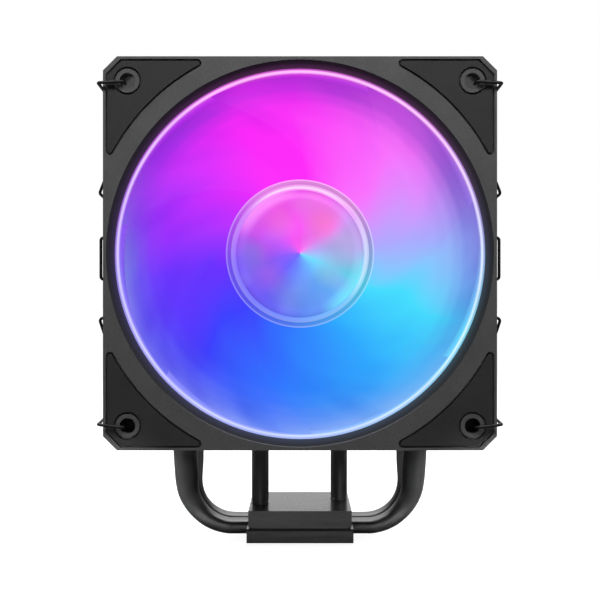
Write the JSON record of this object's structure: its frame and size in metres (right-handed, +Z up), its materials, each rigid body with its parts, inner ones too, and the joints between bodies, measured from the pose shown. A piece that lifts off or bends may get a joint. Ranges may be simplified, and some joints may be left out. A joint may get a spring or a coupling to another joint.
{
  "type": "cpu tower cooler",
  "caption": "Single tower CPU air cooler with U-shaped heat pipes, a black fin stack and a lit front fan held by wire clips.",
  "frame": {"origin": "centre of the flat contact face under the base", "axes": "+X right as seen from the fan side, +Y from the fan to the back of the tower, +Z up along the heat pipes"},
  "size_m": [0.1342, 0.0747, 0.1546],
  "materials": {
    "black_nickel": "gloss",
    "dark_base_metal": "satin",
    "black_fin": "satin",
    "black_top_plate": "satin",
    "frame_plastic": "matte",
    "pad_rubber": "matte",
    "light_ring": "satin",
    "circuit_board": "matte",
    "led_white": "gloss",
    "brass_tube": "satin",
    "bearing_bronze": "matte",
    "steel_core": "satin",
    "copper_coil": "gloss",
    "blank_cover": "satin",
    "frosted_blade": "satin",
    "trim_ring": "gloss",
    "clear_lens": "gloss",
    "magnet_rubber": "matte",
    "bright_steel": "polished",
    "white_ring": "matte",
    "black_wire": "satin"
  },
  "bodies": {
    "cooler": {"base_plate": "dark_base_metal", "base_top_block": "dark_base_metal", "heat_pipe_outer_front": "black_nickel", "heat_pipe_outer_rear": "black_nickel", "heat_pipe_inner": "black_nickel", "cooling_fins": "black_fin", "top_plate": "black_top_plate", "fan_frame": "frame_plastic", "corner_pad_front_upper_right": "pad_rubber", "corner_pad_front_lower_right": "pad_rubber", "corner_pad_front_lower_left": "pad_rubber", "corner_pad_front_upper_left": "pad_rubber", "corner_pad_rear_upper_right": "pad_rubber", "corner_pad_rear_lower_right": "pad_rubber", "corner_pad_rear_lower_left": "pad_rubber", "corner_pad_rear_upper_left": "pad_rubber", "front_light_ring": "light_ring", "ring_led_strip": "circuit_board", "ring_leds": "led_white", "bearing_tube": "brass_tube", "sleeve_bearing": "bearing_bronze", "thrust_cap": "frame_plastic", "motor_board": "circuit_board", "stator_core": "steel_core", "stator_coils": "copper_coil", "hub_leds": "led_white", "motor_back_cover": "blank_cover"},
    "rotor": {"impeller": "frosted_blade", "hub_trim_ring": "trim_ring", "hub_lens": "clear_lens", "rotor_yoke": "steel_core", "rotor_magnet": "magnet_rubber", "rotor_shaft": "bright_steel", "shaft_retaining_ring": "white_ring"},
    "clip_left": {"wire_clip_left": "black_wire"},
    "clip_right": {"wire_clip_right": "black_wire"}
  },
  "joints": [
    {"name": "rotor_spin", "type": "hinge", "parent": "cooler", "child": "rotor", "pos_m": [0, -0.036, 0.0946], "axis": [0, 1, 0], "continuous": true},
    {"name": "clip_left_swing", "type": "hinge", "parent": "cooler", "child": "clip_left", "pos_m": [-0.0536, -0.0465, 0.0946], "axis": [0, 0, 1], "range_deg": [0, 20]},
    {"name": "clip_right_swing", "type": "hinge", "parent": "cooler", "child": "clip_right", "pos_m": [0.0536, -0.0465, 0.0946], "axis": [0, 0, -1], "range_deg": [0, 20]}
  ]
}
